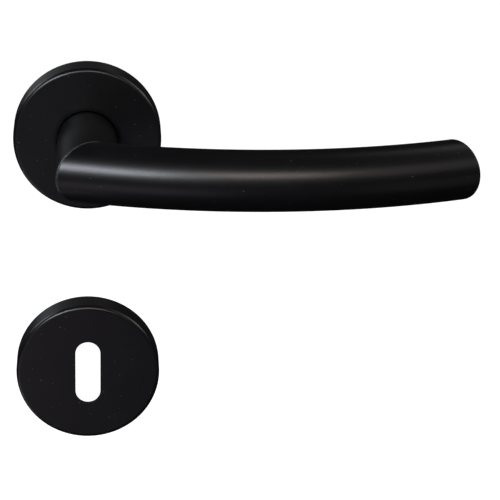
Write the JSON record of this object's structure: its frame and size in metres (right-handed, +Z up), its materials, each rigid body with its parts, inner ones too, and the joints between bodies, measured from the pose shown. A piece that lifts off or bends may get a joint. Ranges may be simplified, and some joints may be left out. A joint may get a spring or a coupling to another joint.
{
  "type": "lever door handle set with keyhole escutcheon",
  "caption": "Bent-tube door lever on a round rose, spring return on a square spindle, with a separate round escutcheon for a warded key.",
  "frame": {"origin": "on the spindle axis at the door face, which is the back of the rose", "axes": "+Y into the door along the spindle, +Z up, +X along the lever towards its free end"},
  "size_m": [0.1592, 0.1199, 0.1412],
  "materials": {
    "black_coat": "matte",
    "galvanised_carrier": "satin",
    "bearing_nylon": "matte",
    "spring_steel": "satin",
    "turned_steel": "satin",
    "zinc_plated_steel": "satin",
    "black_oxide_steel": "matte"
  },
  "bodies": {
    "door_side": {"rose_carrier": "galvanised_carrier", "neck_bush": "bearing_nylon", "thrust_washer": "turned_steel", "return_spring": "spring_steel", "rose_snap_ring": "spring_steel", "rose_bolts": "zinc_plated_steel", "rose_wood_screws": "zinc_plated_steel", "escutcheon_carrier": "galvanised_carrier", "escutcheon_snap_ring": "spring_steel", "escutcheon_screws": "zinc_plated_steel"},
    "lever": {"lever_neck": "black_coat", "lever_grip": "black_coat", "grip_end_cap": "black_coat", "lever_hub": "turned_steel", "grub_screw": "black_oxide_steel", "spindle": "zinc_plated_steel", "circlip": "spring_steel", "spring_driver": "turned_steel"},
    "rose_cap": {"rose_cover": "black_coat"},
    "escutcheon_cap": {"escutcheon_cover": "black_coat"}
  },
  "joints": [
    {"name": "lever_turn", "type": "hinge", "parent": "door_side", "child": "lever", "pos_m": [0, 0, 0], "axis": [0, 1, 0], "range_deg": [0, 40], "stiffness_Nm_per_rad": 0.8, "springref_deg": -34.38, "deforming": ["return_spring"]},
    {"name": "rose_cover_slide", "type": "slide", "parent": "door_side", "child": "rose_cap", "axis": [0, -1, 0], "range_m": [0, 0.022]},
    {"name": "escutcheon_cover_slide", "type": "slide", "parent": "door_side", "child": "escutcheon_cap", "axis": [0, -1, 0], "range_m": [0, 0.03]}
  ]
}
